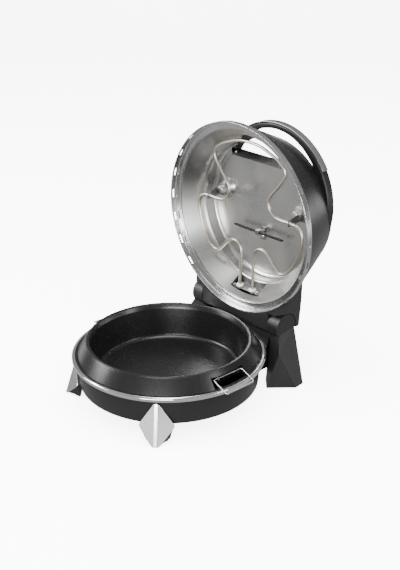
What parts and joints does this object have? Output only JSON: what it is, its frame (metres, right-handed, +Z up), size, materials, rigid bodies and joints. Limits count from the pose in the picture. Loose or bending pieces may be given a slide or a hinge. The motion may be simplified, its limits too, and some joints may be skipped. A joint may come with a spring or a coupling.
{
  "type": "rotisserie oven",
  "caption": "Round tabletop oven: black lidded base with a lift-out pan, bright rim and wire handles, rear hinge legs, and a windowed dome lid with a heating element, shown open.",
  "frame": {"origin": "on the table surface, under the middle of the bounding box of the open oven", "axes": "+Z up, +X to the right of a person facing the front, front towards -Y, hinge at the back (+Y)"},
  "size_m": [0.36, 0.4722, 0.4617],
  "materials": {
    "black_enamel": "satin",
    "pan_coating": "satin non-stick",
    "liner_enamel": "satin",
    "polished_stainless": "polished",
    "bright_trim": "polished",
    "chromed_wire": "polished",
    "charcoal_plastic": "matte",
    "grey_deck": "satin",
    "heater_sheath": "satin",
    "handle_plastic": "satin",
    "silver_trim": "satin silver",
    "window_glass": "clear",
    "foot_rubber": "matte",
    "shaft_steel": "plain",
    "dark_bracket": "dark",
    "ceramic": "matte, a ceramic in life",
    "screw_steel": "plain",
    "control_body": "matte",
    "knob_plastic": "satin",
    "red_lens": "gloss"
  },
  "bodies": {
    "base": {"base_bowl": "black_enamel", "base_liner": "liner_enamel", "chrome_rim": "bright_trim", "front_foot_left": "charcoal_plastic", "front_foot_right": "charcoal_plastic", "front_foot_trim_left": "bright_trim", "front_foot_trim_right": "bright_trim", "front_foot_pad_left": "foot_rubber", "front_foot_pad_right": "foot_rubber", "rear_foot_pad_left": "foot_rubber", "rear_foot_pad_right": "foot_rubber", "rear_leg_left": "charcoal_plastic", "rear_leg_right": "charcoal_plastic", "rear_bridge": "charcoal_plastic", "rear_deck": "grey_deck", "power_inlet": "control_body", "hinge_shaft": "shaft_steel"},
    "lid": {"lid_shell": "black_enamel", "lid_liner": "polished_stainless", "lid_rim": "polished_stainless", "window_frame": "handle_plastic", "window_glass": "window_glass", "window_screw_left": "screw_steel", "window_screw_right": "screw_steel", "lid_handle": "handle_plastic", "handle_trim": "silver_trim", "hinge_block": "charcoal_plastic", "heater_element": "heater_sheath", "terminal_plate": "polished_stainless", "heater_bush_left": "ceramic", "heater_bush_right": "ceramic", "terminal_screw_upper_left": "screw_steel", "terminal_screw_upper_right": "screw_steel", "terminal_screw_lower_left": "screw_steel", "terminal_screw_lower_right": "screw_steel", "heater_clip_left": "dark_bracket", "heater_clip_right": "dark_bracket", "thermostat_bulb": "dark_bracket", "bulb_clip": "dark_bracket", "bulb_clip_screw": "screw_steel", "rim_clip_left": "screw_steel", "rim_clip_right": "screw_steel", "thermostat_body": "control_body", "timer_body": "control_body", "indicator_lens": "red_lens"},
    "pan": {"pan": "pan_coating"},
    "pan_handle_right": {"pan_handle_right": "chromed_wire"},
    "pan_handle_left": {"pan_handle_left": "chromed_wire"},
    "thermostat_knob": {"thermostat_knob": "knob_plastic"},
    "timer_knob": {"timer_knob": "knob_plastic"}
  },
  "joints": [
    {"name": "lid_hinge", "type": "hinge", "parent": "base", "child": "lid", "pos_m": [0, 0.1125, 0.1099], "axis": [-1, 0, 0], "range_deg": [-89.3, 0]},
    {"name": "pan_lift", "type": "slide", "parent": "base", "child": "pan", "axis": [0, -0.6, 0.8], "range_m": [0, 0.06]},
    {"name": "pan_handle_right_swing", "type": "hinge", "parent": "pan", "child": "pan_handle_right", "pos_m": [0.148, -0.0661, 0.0957], "axis": [0, -1, 0], "range_deg": [0, 100]},
    {"name": "pan_handle_left_swing", "type": "hinge", "parent": "pan", "child": "pan_handle_left", "pos_m": [-0.148, -0.0661, 0.0957], "axis": [0, 1, 0], "range_deg": [0, 100]},
    {"name": "thermostat_turn", "type": "hinge", "parent": "lid", "child": "thermostat_knob", "pos_m": [-0.046, 0.22538, 0.25989], "axis": [0, 0.9999, 0.0122], "range_deg": [0, 270]},
    {"name": "timer_turn", "type": "hinge", "parent": "lid", "child": "timer_knob", "pos_m": [0.046, 0.22538, 0.25989], "axis": [0, 0.9999, 0.0122], "range_deg": [0, 300]}
  ]
}
